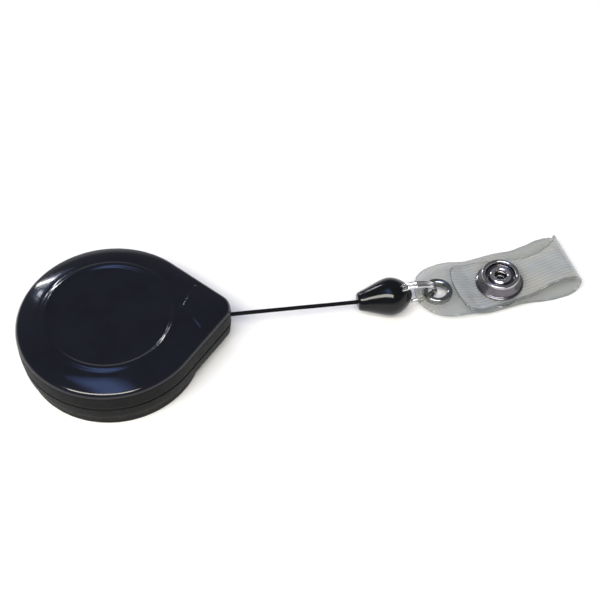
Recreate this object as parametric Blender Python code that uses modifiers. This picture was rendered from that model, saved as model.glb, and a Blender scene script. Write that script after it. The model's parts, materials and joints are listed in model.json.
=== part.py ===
"""A retractable badge reel: a teardrop case with a sprung spool, a cord, a bead, a ring and a snap strap.

Metres, +Z up. The origin is on the spool's axis, in the plane of the foot ring under the case, and +X
points to the case's nose, where the cord comes out.
"""

import math

import bmesh
import bpy
from mathutils import Matrix, Vector

MM = 0.001

# Case
CASE_RADIUS = 15.9 * MM
NOSE_X = 20.4 * MM
FLANK_ANGLE = math.radians(42.5)  # direction of the flanks' outward normals, from +X
NOSE_FILLET = 3.0 * MM
WALL = 1.25 * MM
FOOT_RADIUS = 15.1 * MM
BACK_Z = 2.3 * MM  # underside of the rear cover's floor
FLOOR_Z = 3.3 * MM  # top of that floor
REAR_RIM_Z = 5.15 * MM
FRONT_RIM_Z = 5.45 * MM
CEILING_Z = 9.0 * MM
FACE_Z = 10.1 * MM  # flat disc in the middle of the front
BEAD_OUTER = 11.6 * MM
BEAD_INNER = 10.2 * MM
BEAD_TOP_Z = 10.4 * MM
ARC_STEPS = 56
FILLET_STEPS = 5

# Cord and spool
CORD_RADIUS = 0.35 * MM
CORD_Z = 6.2 * MM
WINDING_INNER = 9.45 * MM
WINDING_OUTER = 11.1 * MM
AXLE_HOLE = 1.7 * MM
SPOOL_HOLES = 3
SPRING_TURNS = 9
SPRING_THICKNESS = 0.15 * MM

# Belt clip
CLIP_WIDTH = 8.0 * MM
CLIP_THICKNESS = 0.45 * MM
CLIP_BEND_X = -11.8 * MM
CLIP_BEND_RADIUS = 0.77 * MM
CLIP_TOP_Z = 1.82 * MM
CLIP_LOW_Z = CLIP_THICKNESS / 2  # the leaf lies on the plane z = 0

# Bead, ring and strap
PULL_YAW = math.radians(2.6)
BEAD_TIP = Vector((42.55, 1.02, 3.95)) * MM
RING_TILT = math.radians(16.0)
RING_RADIUS = 3.65 * MM
RING_WIRE = 0.31 * MM
RING_CENTRE = 10.3 * MM  # distance of the ring's centre from the bead's small end
RING_TURNS = 1.9
RING_PITCH = 0.68 * MM
EYE_RADIUS = 0.95 * MM
EYE_TURN_STEPS = 40
EYE_SIDES = 14
STRAP_YAW = math.radians(10.5)
EYELET_CENTRE = Vector((57.1, 2.0, 0.0)) * MM
STRAP_THICKNESS = 0.5 * MM
# Where the strap's two edges run: distance from the eyelet, then the near and the far edge
LOWER_EDGES = (
    (16.0, -6.35, 5.85), (20.0, -6.8, 6.3), (22.5, -6.8, 6.7), (24.0, -6.5, 6.5), (25.1, -6.1, 5.8),
)
FLAP_EDGES = (
    (8.0, -6.3, 4.2), (10.8, -6.3, 3.8), (15.5, -6.0, 2.8), (17.5, -5.75, 2.0), (20.0, -5.5, 1.9),
    (22.0, -5.6, 2.5), (23.5, -5.9, 3.9), (24.6, -6.1, 5.2), (25.1, -6.1, 5.8),
)
FOLD_CENTRE = Vector((23.45, 0.0, 2.0)) * MM
FOLD_RADIUS = 1.65 * MM
SNAP_U = 11.2 * MM
SNAP_V = -1.6 * MM
TURN_STEPS = 36


def clear_scene():
    for old in list(bpy.data.objects):
        bpy.data.objects.remove(old, do_unlink=True)


def new_collection(name):
    made = bpy.data.collections.new(name)
    bpy.context.scene.collection.children.link(made)
    return made


def material(name, colour, roughness, metallic=0.0, alpha=1.0):
    made = bpy.data.materials.new(name)
    made.use_nodes = True
    shader = made.node_tree.nodes["Principled BSDF"]
    shader.inputs["Base Color"].default_value = (*colour, 1.0)
    shader.inputs["Roughness"].default_value = roughness
    shader.inputs["Metallic"].default_value = metallic
    shader.inputs["Alpha"].default_value = alpha
    return made


def empty(name, location, rotation=(0.0, 0.0, 0.0)):
    made = bpy.data.objects.new(name, None)
    made.location = location
    made.rotation_euler = rotation
    PARTS.objects.link(made)
    return made


def add_mesh(name, mesh, finish, parent=None, collection=None):
    made = bpy.data.objects.new(name, mesh)
    (collection or PARTS).objects.link(made)
    if finish is not None:
        mesh.materials.append(finish)
    made.parent = parent
    return made


def loft(name, rings, finish, parent=None):
    """A closed solid through rings of equal length, with a face across the first and the last."""
    bm = bmesh.new()
    rows = [[bm.verts.new(point) for point in ring] for ring in rings]
    count = len(rows[0])
    for low, high in zip(rows, rows[1:]):
        for i in range(count):
            j = (i + 1) % count
            bm.faces.new((low[i], low[j], high[j], high[i]))
    bm.faces.new(rows[0][::-1])
    bm.faces.new(rows[-1])
    bmesh.ops.recalc_face_normals(bm, faces=bm.faces)
    mesh = bpy.data.meshes.new(name)
    bm.to_mesh(mesh)
    bm.free()
    return add_mesh(name, mesh, finish, parent)


def turned(name, profile, finish, parent=None, closed=True, steps=TURN_STEPS):
    """A profile of (radius, height) points in millimetres, run down its outer side and turned about Z."""
    bm = bmesh.new()
    verts = [bm.verts.new((radius * MM, 0.0, height * MM)) for radius, height in profile]
    for first, second in zip(verts, verts[1:]):
        bm.edges.new((first, second))
    if closed:
        bm.edges.new((verts[-1], verts[0]))
    mesh = bpy.data.meshes.new(name)
    bm.to_mesh(mesh)
    bm.free()
    made = add_mesh(name, mesh, finish, parent)
    screw = made.modifiers.new("Turn", "SCREW")
    screw.steps = steps
    screw.render_steps = steps
    screw.use_merge_vertices = True
    screw.merge_threshold = 0.00001
    return made


def tube(name, points, radius, finish, parent=None):
    curve = bpy.data.curves.new(name, "CURVE")
    curve.dimensions = "3D"
    curve.bevel_depth = radius
    curve.bevel_resolution = 2
    curve.use_fill_caps = True
    spline = curve.splines.new("POLY")
    spline.points.add(len(points) - 1)
    for place, point in zip(spline.points, points):
        place.co = (*point, 1.0)
    made = bpy.data.objects.new(name, curve)
    PARTS.objects.link(made)
    curve.materials.append(finish)
    made.parent = parent
    return made


def as_mesh(obj, finish):
    """The curve object as a welded mesh object, so that a Boolean can take it."""
    bpy.context.view_layer.update()
    evaluated = obj.evaluated_get(bpy.context.evaluated_depsgraph_get())
    mesh = bpy.data.meshes.new_from_object(evaluated)
    mesh.materials.clear()
    bm = bmesh.new()
    bm.from_mesh(mesh)
    bmesh.ops.remove_doubles(bm, verts=bm.verts, dist=0.000001)
    bm.to_mesh(mesh)
    bm.free()
    name, parent, place = obj.name, obj.parent, obj.matrix_world.copy()
    bpy.data.objects.remove(obj, do_unlink=True)
    made = add_mesh(name, mesh, finish, parent)
    made.matrix_world = place
    return made


def helper(name, bm, parent=None):
    mesh = bpy.data.meshes.new(name)
    bm.to_mesh(mesh)
    bm.free()
    made = add_mesh(name, mesh, None, parent, CUTTERS)
    made.hide_render = True
    made.display_type = "WIRE"
    return made


def cylinder_cutter(name, radius, low, high, parent=None, location=(0.0, 0.0)):
    bm = bmesh.new()
    middle = Matrix.Translation((location[0], location[1], (low + high) / 2))
    bmesh.ops.create_cone(
        bm, cap_ends=True, segments=32, radius1=radius, radius2=radius, depth=high - low, matrix=middle
    )
    return helper(name, bm, parent)


def box_cutter(name, low, high, parent=None):
    bm = bmesh.new()
    size = Vector(high) - Vector(low)
    middle = Matrix.Translation((Vector(high) + Vector(low)) / 2)
    bmesh.ops.create_cube(bm, size=1.0, matrix=middle @ Matrix.Diagonal((*size, 1.0)))
    return helper(name, bm, parent)


def boolean(target, other, operation="DIFFERENCE"):
    made = target.modifiers.new(operation.title(), "BOOLEAN")
    made.operation = operation
    made.object = other


def smooth(obj):
    if obj.type == "MESH":
        obj.data.shade_smooth()
        obj.data.set_sharp_from_angle(angle=math.radians(35))


def arc(centre, radius, start, end, steps):
    for i in range(steps + 1):
        angle = start + (end - start) * i / steps
        yield centre[0] + radius * math.cos(angle), centre[1] + radius * math.sin(angle)


def case_outline(inset):
    """The teardrop seen from above, moved in by inset: a long arc, two flanks and a filleted nose."""
    radius = CASE_RADIUS - inset
    nose = NOSE_X - inset
    corner = (radius - nose * math.cos(FLANK_ANGLE)) / math.sin(FLANK_ANGLE)
    fillet = min(NOSE_FILLET, 0.9 * corner / math.tan(FLANK_ANGLE / 2))
    reach = corner - fillet * math.tan(FLANK_ANGLE / 2)
    points = list(arc((0.0, 0.0), radius, FLANK_ANGLE, 2 * math.pi - FLANK_ANGLE, ARC_STEPS))
    points += arc((nose - fillet, -reach), fillet, -FLANK_ANGLE, 0.0, FILLET_STEPS)
    points += arc((nose - fillet, reach), fillet, 0.0, FLANK_ANGLE, FILLET_STEPS)
    return points


def case_ring(inset, height):
    return [Vector((x, y, height)) for x, y in case_outline(inset)]


def round_ring(radius, height):
    """A circle with one point in the direction of each point of the case's outline."""
    ring = []
    for x, y in case_outline(0.0):
        angle = math.atan2(y, x)
        ring.append(Vector((radius * math.cos(angle), radius * math.sin(angle), height)))
    return ring


def blended_ring(inset, radius, share, height):
    pairs = zip(case_ring(inset, height), round_ring(radius, height))
    return [outer.lerp(inner, share) for outer, inner in pairs]


def make_front_cover():
    rings = [
        round_ring(10.6 * MM, CEILING_Z),
        case_ring(WALL + 0.7 * MM, 8.6 * MM),
        case_ring(WALL, 8.1 * MM),
        case_ring(WALL, FRONT_RIM_Z),
        case_ring(0.35 * MM, FRONT_RIM_Z),
        case_ring(0.05 * MM, FRONT_RIM_Z + 0.3 * MM),
        case_ring(0.0, 8.1 * MM),
        case_ring(0.12 * MM, 8.6 * MM),
        case_ring(0.45 * MM, 9.0 * MM),
        case_ring(1.0 * MM, 9.25 * MM),
        blended_ring(1.0 * MM, BEAD_OUTER, 0.5, 9.8 * MM),
        round_ring(BEAD_OUTER, FACE_Z),
        round_ring(BEAD_OUTER - 0.3 * MM, BEAD_TOP_Z - 0.08 * MM),
        round_ring((BEAD_OUTER + BEAD_INNER) / 2, BEAD_TOP_Z),
        round_ring(BEAD_INNER + 0.3 * MM, BEAD_TOP_Z - 0.08 * MM),
        round_ring(BEAD_INNER, FACE_Z),
    ]
    cover = loft("front_cover", rings, PLASTIC)
    slot = cylinder_cutter("exit_hole", 0.8 * MM, -3.0 * MM, 3.0 * MM)
    slot.rotation_euler = (0.0, math.pi / 2, 0.0)
    slot.location = (NOSE_X, 0.0, CORD_Z)
    boolean(cover, slot)
    notch_low = (NOSE_X - 3.0 * MM, -0.8 * MM, FRONT_RIM_Z - 0.5 * MM)
    notch_high = (NOSE_X + 3.0 * MM, 0.8 * MM, CORD_Z)
    boolean(cover, box_cutter("exit_notch", notch_low, notch_high))
    return cover


def make_rear_cover():
    rings = [
        round_ring(12.0 * MM, FLOOR_Z),
        case_ring(WALL + 0.5 * MM, FLOOR_Z),
        case_ring(WALL, FLOOR_Z + 0.4 * MM),
        case_ring(WALL, REAR_RIM_Z),
        case_ring(0.35 * MM, REAR_RIM_Z),
        case_ring(0.1 * MM, REAR_RIM_Z - 0.3 * MM),
        case_ring(0.25 * MM, 2.9 * MM),
        case_ring(0.6 * MM, BACK_Z + 0.15 * MM),
        round_ring(FOOT_RADIUS, BACK_Z),
        round_ring(FOOT_RADIUS - 0.1 * MM, 0.4 * MM),
        round_ring(FOOT_RADIUS - 0.4 * MM, 0.0),
        round_ring(FOOT_RADIUS - 1.3 * MM, 0.0),
        round_ring(FOOT_RADIUS - 1.4 * MM, BACK_Z),
    ]
    cover = loft("rear_cover", rings, PLASTIC)
    boolean(cover, cylinder_cutter("axle_hole", AXLE_HOLE, 1.0 * MM, 5.0 * MM))
    half = CLIP_WIDTH / 2 + 0.7 * MM
    mouth = box_cutter("clip_mouth", (11.0 * MM, -half, -1.0 * MM), (17.0 * MM, half, 2.0 * MM))
    boolean(cover, mouth)
    return cover


def make_axle_rivet():
    profile = [(0.0, 8.75), (1.2, 8.75), (1.4, 8.55), (1.4, 1.3), (2.4, 1.3), (2.3, 1.1), (1.4, 0.97)]
    profile.append((0.0, 0.95))
    rivet = turned("axle_rivet", profile, STEEL, closed=False, steps=24)
    slot = box_cutter("axle_slot", (-2.0 * MM, -0.25 * MM, 4.2 * MM), (2.0 * MM, 0.25 * MM, 10.0 * MM))
    boolean(rivet, slot)
    return rivet


def strip_sections(path, edges_at, thickness):
    """Rectangular sections across a path of (x, z) points, whose two edges edges_at gives from x."""
    sections = []
    for i, (x, z) in enumerate(path):
        before = Vector(path[max(i - 1, 0)])
        after = Vector(path[min(i + 1, len(path) - 1)])
        along = (after - before).normalized()
        side = Vector((-along.y, along.x)) * thickness / 2
        near, far = edges_at(x)
        top, low = Vector((x, z)) + side, Vector((x, z)) - side
        corners = ((top, near), (top, far), (low, far), (low, near))
        sections.append([Vector((corner.x, y, corner.y)) for corner, y in corners])
    return sections


def make_belt_clip():
    def clip_edges(x):
        return -CLIP_WIDTH / 2, CLIP_WIDTH / 2

    bend_z = (CLIP_TOP_Z + CLIP_LOW_Z) / 2
    path = [(5.0 * MM, CLIP_TOP_Z), (-6.0 * MM, CLIP_TOP_Z)]
    path += arc((CLIP_BEND_X, bend_z), CLIP_BEND_RADIUS, math.pi / 2, 1.5 * math.pi, 10)
    base = loft("belt_clip_base", strip_sections(path, clip_edges, CLIP_THICKNESS), STEEL)
    boolean(base, cylinder_cutter("clip_hole", AXLE_HOLE, 1.4 * MM, 3.0 * MM))
    # The leaf stands on z = 0 and ends in a lip that turns up and away from the nose.
    lip = [(12.0, 0.42), (13.0, 0.9), (14.0, 1.0), (15.0, 0.75), (16.0, 0.35)]
    path = [(CLIP_BEND_X + 0.3 * MM, CLIP_LOW_Z), (0.0, CLIP_LOW_Z), (11.0 * MM, CLIP_LOW_Z)]
    path += [(x * MM, z * MM) for x, z in lip]
    leaf = loft("belt_clip_leaf", strip_sections(path, clip_edges, CLIP_THICKNESS), STEEL)
    return base, leaf


def make_spool():
    profile = [
        (13.5, 8.55), (13.5, 8.1), (9.2, 7.85), (9.2, 4.4), (13.5, 4.15), (13.5, 3.65),
        (8.2, 3.65), (8.2, 7.85), (1.65, 7.85), (1.65, 8.55),
    ]
    spool = turned("spool", profile, SPOOL_PLASTIC, steps=48)
    for i in range(SPOOL_HOLES):
        angle = 2 * math.pi * i / SPOOL_HOLES
        place = (5.0 * MM * math.cos(angle), 5.0 * MM * math.sin(angle))
        boolean(spool, cylinder_cutter(f"spool_hole_{i}", 1.3 * MM, 7.0 * MM, 9.5 * MM, location=place))
    return spool


def make_winding():
    low, high = 4.75, 7.55
    inner, outer = WINDING_INNER / MM, WINDING_OUTER / MM
    profile = [(outer - 0.3, high), (outer, high - 0.4), (outer, low + 0.4), (outer - 0.3, low)]
    profile += [(inner, low), (inner, high)]
    return turned("cord_winding", profile, CORD, steps=40)


def make_power_spring():
    """A flat steel strip: a tab in the axle's slot, then a spiral out to the spool's core."""
    low, high = 4.5 * MM, 7.4 * MM
    inner, outer = 1.95 * MM, 7.75 * MM
    steps = 22
    path = [Vector((-1.1 * MM, 0.0)), Vector((1.3 * MM, 0.0))]
    for i in range(SPRING_TURNS * steps + 1):
        angle = 2 * math.pi * i / steps
        radius = inner + (outer - inner) * i / (SPRING_TURNS * steps)
        path.append(Vector((radius * math.cos(angle), radius * math.sin(angle))))
    rings = []
    for i, point in enumerate(path):
        along = (path[min(i + 1, len(path) - 1)] - path[max(i - 1, 0)]).normalized()
        side = Vector((-along.y, along.x)) * SPRING_THICKNESS / 2
        corners = ((point + side, low), (point - side, low), (point - side, high), (point + side, high))
        rings.append([Vector((*corner, height)) for corner, height in corners])
    return loft("power_spring", rings, STEEL)


def make_retaining_washer():
    profile = [(2.9, 8.85), (2.9, 8.65), (1.55, 8.65), (1.55, 8.85)]
    return turned("retaining_washer", profile, STEEL, steps=24)


def make_cord_lead():
    """The cord inside the case, straight off the winding and round into the nose."""
    bend = Vector((17.5 * MM, 0.3 * MM))
    radius = WINDING_OUTER + CORD_RADIUS + 0.1 * MM
    angle = bend.to_2d().angle_signed(Vector((1.0, 0.0))) + math.acos(radius / bend.length)
    start = Vector((radius * math.cos(angle), radius * math.sin(angle)))
    points = [(*start.lerp(bend, share), CORD_Z) for share in (0.02, 0.5, 0.92)]
    points += [(x * MM, y * MM, CORD_Z) for x, y in ((17.5, 0.18), (18.4, 0.02), (20.1, 0.0))]
    return tube("cord_lead", points, CORD_RADIUS, CORD)


def make_cord_run():
    start = Vector((NOSE_X + 0.05 * MM, 0.0, CORD_Z))
    end = BEAD_TIP + Vector((0.2 * MM, 0.0, 0.0))
    points = [start.lerp(end, i / 12) for i in range(13)]
    return tube("cord_run", points, CORD_RADIUS, CORD)


def make_bead(puller):
    profile = [
        (0.0, 9.75), (0.6, 9.68), (1.2, 9.42), (1.8, 9.0), (2.4, 8.4), (2.85, 7.7), (3.2, 6.9),
        (3.38, 6.0), (3.3, 5.1), (2.95, 4.0), (2.5, 2.8), (2.0, 1.5), (1.7, 0.5), (1.45, 0.12),
        (1.0, 0.0), (0.0, 0.0),
    ]
    bead = turned("cord_end_bead", profile, PLASTIC, puller, closed=False, steps=32)
    boolean(bead, cylinder_cutter("bead_bore", 0.55 * MM, -1.0 * MM, 4.0 * MM, puller))
    bm = bmesh.new()
    bmesh.ops.create_uvsphere(
        bm, u_segments=20, v_segments=12, radius=1.2 * MM, matrix=Matrix.Translation((0.0, 0.0, 3.8 * MM))
    )
    boolean(bead, helper("knot_room", bm, puller))
    boolean(bead, make_eye_cutter(puller))
    return bead


def make_eye_cutter(puller):
    """A ring-shaped cutter round the split ring's path, for a curved eye through the bead's end."""
    bm = bmesh.new()
    rows = []
    for i in range(EYE_TURN_STEPS):
        turn = Matrix.Rotation(2 * math.pi * i / EYE_TURN_STEPS, 3, "Z")
        rows.append([])
        for j in range(EYE_SIDES):
            angle = 2 * math.pi * j / EYE_SIDES
            reach = RING_RADIUS + EYE_RADIUS * math.cos(angle)
            rows[i].append(bm.verts.new(turn @ Vector((reach, 0.0, EYE_RADIUS * math.sin(angle)))))
    for i, first in enumerate(rows):
        second = rows[(i + 1) % EYE_TURN_STEPS]
        for j in range(EYE_SIDES):
            k = (j + 1) % EYE_SIDES
            bm.faces.new((first[j], second[j], second[k], first[k]))
    bmesh.ops.recalc_face_normals(bm, faces=bm.faces)
    hole = helper("ring_eye", bm, puller)
    hole.location = (0.0, 0.0, RING_CENTRE)
    hole.rotation_euler = (math.pi / 2, 0.0, 0.0)
    return hole


def make_knot(puller):
    stub = tube("cord_knot", [(0.0, 0.0, 0.6 * MM), (0.0, 0.0, 3.8 * MM)], CORD_RADIUS, CORD, puller)
    stub = as_mesh(stub, CORD)
    bm = bmesh.new()
    bmesh.ops.create_icosphere(
        bm, subdivisions=2, radius=0.85 * MM, matrix=Matrix.Translation((0.0, 0.0, 3.8 * MM))
    )
    boolean(stub, helper("knot_ball", bm, puller), "UNION")
    return stub


def make_split_ring(puller):
    """A split ring of nearly two coils, standing on edge through the bead's eye."""
    steps = int(28 * RING_TURNS)
    points = []
    for i in range(steps + 1):
        turn = RING_TURNS * i / steps
        angle = math.radians(20.0) + 2 * math.pi * turn
        side = RING_PITCH * (turn - RING_TURNS / 2)
        points.append((RING_RADIUS * math.cos(angle), side, RING_CENTRE + RING_RADIUS * math.sin(angle)))
    return tube("split_ring", points, RING_WIRE, CHROME, puller)


def strap_path():
    """The middle of the strap in its own (x, z) plane, from its tongue to the fold's outermost point."""
    lay = [(-3.9, 2.6), (-3.6, 2.6), (-3.0, 2.6), (-2.0, 2.6), (-0.8, 2.6), (1.0, 2.6), (3.0, 2.57)]
    lay += [(4.5, 2.3), (6.0, 1.75), (7.5, 1.3), (9.0, 1.15), (11.6, 1.15), (13.6, 1.08), (15.2, 0.84)]
    lay += [(16.7, 0.5), (17.6, 0.35), (18.0, 0.35), (20.0, 0.35), (22.85, 0.35)]
    path = [(x * MM, z * MM) for x, z in lay]
    path += arc(FOLD_CENTRE.xz, FOLD_RADIUS, -math.pi / 2, -math.radians(6), 6)
    return path


def flap_path():
    path = list(arc(FOLD_CENTRE.xz, FOLD_RADIUS, math.radians(6), math.pi / 2, 6))
    lay = [(22.4, 3.62), (21.0, 3.4), (19.0, 3.0), (17.5, 2.62), (16.6, 2.4), (15.6, 2.27), (10.6, 2.27)]
    lay += [(8.0, 2.27), (6.2, 2.27), (5.4, 2.6), (4.6, 2.98), (4.0, 3.2), (3.4, 3.37), (3.1, 3.43)]
    return path + [(x * MM, z * MM) for x, z in lay]


def strap_edges(x, table, tip, root, powers):
    """The strap's near and far edge at x, from the table, drawn in to a round tongue from root to tip."""
    spans = [(low, high) for low, high in zip(table, table[1:]) if x <= high[0] * MM]
    low, high = spans[0] if spans else table[-2:]
    share = min(max((x / MM - low[0]) / (high[0] - low[0]), 0.0), 1.0)
    near, far = ((a + (b - a) * share) * MM for a, b in zip(low[1:], high[1:]))
    reach = min(max((root - x) / (root - tip), 0.0), 0.985)
    near_half, far_half = ((far - near) / 2 * (1.0 - reach**power) ** 0.556 for power in powers)
    return (near + far) / 2 - near_half, (near + far) / 2 + far_half


def make_strap(strap):
    def lower_edges(x):
        return strap_edges(x, LOWER_EDGES, -3.9 * MM, 6.0 * MM, (3.2, 5.0))

    def flap_edges(x):
        return strap_edges(x, FLAP_EDGES, 2.95 * MM, 5.6 * MM, (5.0, 3.2))

    lower = loft("strap_lower", strip_sections(strap_path(), lower_edges, STRAP_THICKNESS), VINYL, strap)
    boolean(lower, cylinder_cutter("eyelet_hole", 2.15 * MM, 0.5 * MM, 5.0 * MM, strap))
    boolean(lower, cylinder_cutter("stud_hole", 1.5 * MM, 0.1 * MM, 1.8 * MM, strap, (SNAP_U, SNAP_V)))
    flap = loft("strap_flap", strip_sections(flap_path(), flap_edges, STRAP_THICKNESS), VINYL, strap)
    boolean(flap, cylinder_cutter("socket_hole", 2.4 * MM, 1.6 * MM, 3.4 * MM, strap, (SNAP_U, SNAP_V)))
    return lower, flap


def make_eyelet(strap):
    profile = [(1.95, 3.2), (2.3, 3.42), (2.6, 3.2), (2.62, 2.95), (1.98, 2.95), (1.98, 2.05)]
    profile += [(1.72, 2.05), (1.72, 3.05)]
    eyelet = turned("strap_eyelet", profile, CHROME, strap, steps=28)
    profile = [(2.65, 2.28), (2.62, 2.1), (2.05, 2.1), (2.05, 2.28)]
    washer = turned("eyelet_washer", profile, CHROME, strap, steps=28)
    return eyelet, washer


def make_snap(strap):
    place = (SNAP_U, SNAP_V, 0.0)
    profiles = {
        "snap_post": [
            (0.8, 3.6), (1.2, 3.6), (1.2, 0.62), (4.0, 0.62), (4.0, 0.35), (3.7, 0.15), (0.8, 0.15),
        ],
        "snap_stud": [
            (1.85, 3.85), (2.02, 3.5), (1.8, 3.0), (1.8, 1.92), (3.4, 1.92), (3.4, 1.7), (1.4, 1.7),
            (1.4, 3.85),
        ],
        "snap_socket": [
            (2.95, 5.1), (3.25, 5.0), (3.35, 4.7), (3.45, 4.2), (3.75, 3.2), (4.2, 2.95), (4.2, 2.65),
            (2.55, 2.65), (2.55, 2.9), (3.4, 3.05), (3.1, 4.1), (1.25, 4.1), (1.25, 4.4), (2.6, 4.4),
            (2.7, 4.9),
        ],
        "snap_socket_ring": [(1.6, 4.85), (1.95, 4.7), (1.95, 4.5), (1.15, 4.5), (1.15, 4.7)],
    }
    for name, profile in profiles.items():
        turned(name, profile, CHROME, strap, steps=32).location = place
    turns = [math.radians(20 + 320 * i / 28) for i in range(29)]
    points = [(2.4 * MM * math.cos(a), 2.4 * MM * math.sin(a), 3.45 * MM) for a in turns]
    tube("snap_spring", points, 0.2 * MM, STEEL, strap).location = place


clear_scene()
PARTS = new_collection("badge_reel")
CUTTERS = new_collection("cutters")
PLASTIC = material("black_plastic", (0.012, 0.014, 0.024), 0.22)
SPOOL_PLASTIC = material("spool_plastic", (0.55, 0.55, 0.52), 0.45)
CORD = material("black_cord", (0.01, 0.01, 0.01), 0.8)
STEEL = material("spring_steel", (0.45, 0.45, 0.45), 0.3, 1.0)
CHROME = material("chrome", (0.75, 0.75, 0.76), 0.12, 1.0)
VINYL = material("clear_vinyl", (0.72, 0.75, 0.75), 0.15, alpha=0.4)

make_front_cover()
make_rear_cover()
make_axle_rivet()
make_belt_clip()
make_spool()
make_winding()
make_power_spring()
make_retaining_washer()
make_cord_lead()
make_cord_run()

# The bead is turned about its own Z, which is laid along the cord. Local X then points down, and the
# tilt leans the ring's top towards -Y.
bead_frame = empty("bead_frame", BEAD_TIP, (0.0, math.pi / 2, PULL_YAW))
ring_frame = empty("ring_frame", (0.0, 0.0, 0.0), (0.0, 0.0, RING_TILT))
ring_frame.parent = bead_frame
make_bead(ring_frame)
make_knot(ring_frame)
make_split_ring(ring_frame)

strap_frame = empty("strap_frame", EYELET_CENTRE, (0.0, 0.0, STRAP_YAW))
make_strap(strap_frame)
make_eyelet(strap_frame)
make_snap(strap_frame)

for part in PARTS.objects:
    smooth(part)
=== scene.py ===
"""The finished look of a retractable badge reel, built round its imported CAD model.

Metres, +Z up, in the CAD model's frame: the origin is on the spool's axis under the case, and +X runs from
there to the case's nose, the cord, the bead, the split ring and the strap. Lengths in profiles and paths
are millimetres, and MM turns them into metres.
"""

import itertools
import json
import math

import bpy
from mathutils import Matrix, Vector


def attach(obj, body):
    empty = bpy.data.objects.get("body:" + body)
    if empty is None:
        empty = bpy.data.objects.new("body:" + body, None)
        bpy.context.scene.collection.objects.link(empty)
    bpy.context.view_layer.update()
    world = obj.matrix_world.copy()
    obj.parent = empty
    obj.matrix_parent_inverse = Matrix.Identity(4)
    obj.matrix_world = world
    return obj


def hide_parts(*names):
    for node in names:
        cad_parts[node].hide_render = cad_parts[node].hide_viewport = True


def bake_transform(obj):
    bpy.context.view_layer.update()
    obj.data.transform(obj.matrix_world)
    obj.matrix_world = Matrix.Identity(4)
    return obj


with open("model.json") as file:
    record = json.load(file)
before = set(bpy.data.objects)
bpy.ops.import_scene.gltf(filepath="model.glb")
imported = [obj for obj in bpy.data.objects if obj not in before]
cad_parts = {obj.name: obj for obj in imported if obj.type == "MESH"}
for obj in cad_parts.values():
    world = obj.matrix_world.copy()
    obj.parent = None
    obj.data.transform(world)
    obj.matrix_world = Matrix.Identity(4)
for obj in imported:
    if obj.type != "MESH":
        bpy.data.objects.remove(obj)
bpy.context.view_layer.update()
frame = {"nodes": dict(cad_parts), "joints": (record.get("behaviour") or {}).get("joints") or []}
JOINTS = {joint["name"]: joint for joint in frame["joints"]}

MM = 0.001

# Camera and studio, in metres
LENS_MM = 86.1
SENSOR_MM = 36.0
CAMERA_PLACE = Vector((0.008956, -0.149162, 0.200709))
CAMERA_TARGET = Vector((0.03327, 0.00603, 0.0))
FLOOR_HALF = 3.0
FLOOR_GAP = 0.00005
WINDOW_DISTANCE = 0.8
SKY_PLACE = (-0.08, -0.05)
SKY_RADIANCE = 0.9
SKY_LAYERS = (
    ("sky", 0.70, (0.46, 0.26), (0.28, 0.43, 1.0)),
    ("sky_middle", 0.69, (0.36, 0.19), (0.28, 0.43, 1.0)),
    ("sky_core", 0.68, (0.25, 0.12), (0.30, 0.46, 1.0)),
)
# Height in the world's sphere, and colour there
HORIZON = (0.07, (0.92, 0.93, 0.95))
OVERHEAD = (0.24, (0.19, 0.19, 0.21))

# A wave texture of scale 1 repeats after this distance, and these are the Mix node's colour sockets
WAVE_PITCH = math.pi / 10
MIX_COLOUR_A, MIX_COLOUR_B, MIX_COLOUR_RESULT = 6, 7, 2

# Mesh resolution, in steps
ROUND_STEPS = 150
FLANK_STEPS = 84
NOSE_STEPS = 8
DOME_STEPS = 74
TURNED_STEPS = 96
SNAP_STEPS = 128
CUTTER_STEPS = 64
EYE_STEPS = 28
CORNER_STEPS = 4
CLIP_EDGE_STEPS = 3
RIB_STEPS = 120
EDGE_STEPS = 6
CAP_CORNERS = 30

# Edges that bend by more than this are sharp, in degrees
SHARP_ANGLE = 35.0
CASE_SHARP_ANGLE = 40.0
STRAP_SHARP_ANGLE = 50.0

# Case, in millimetres
CASE_RADIUS = 15.9
NOSE_X = 20.4
FLANK_ANGLE = math.radians(42.5)
NOSE_FILLET = 3.0
WALL = 1.25
FOOT_RADIUS = 15.1
PARTING_Z = 5.3
PARTING_GAP = 0.005
SHOULDER_Z = 8.1
RIM_FILLET = 1.0
RIM_RISE = 1.15
RIM_TURN = math.radians(70.7)
DOME_INSET = 0.67
DOME_LOW_Z = 9.185
DOME_TOP_Z = 10.08
CORD_Z = 6.2
EXIT_RADIUS = 0.8
RING_OUTER = 11.9
RING_INNER = 10.15
FACE_Z = 10.1
CHEVRON_X = 12.5
CHEVRON_ANGLE = math.radians(61)
CHEVRON_REACH = 4.4
ARM_HALF = 0.24
STEM_HALF = 0.22
DOT_RADIUS = 0.4
CHEVRON_RELIEF = 0.09
DOT_RELIEF = 0.06
RIVET_HOLE = 1.7
FOOT_GATE = 4.7

# Belt clip, in millimetres
CLIP_LOW_Z = 0.225
CLIP_HIGH_Z = 1.82
CLIP_BEND_X = -11.8
CLIP_BEND_RADIUS = 0.7975
CLIP_HALF_WIDTH = 4.0
CLIP_THICKNESS = 0.45

# Cord, bead and split ring, in millimetres
CORD_RADIUS = 0.35
CORD_OVERLAP = (0.9, 1.2)
BRAID_HEIGHT = 0.014
BRAID_STRANDS = 6
BRAID_TWIST = 9.0
PULL_YAW = math.radians(2.6)
BEAD_TIP = Vector((42.55, 1.02, 3.95))
RING_TILT = math.radians(16.0)
RING_RADIUS = 3.65
RING_WIRE = 0.31
RING_DISTANCE = 10.3
RING_TURNS = 1.9
RING_PITCH = 0.68
RING_START = math.radians(20.0)
EYE_RADIUS = 0.95
CORD_HOLE = 0.45

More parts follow.
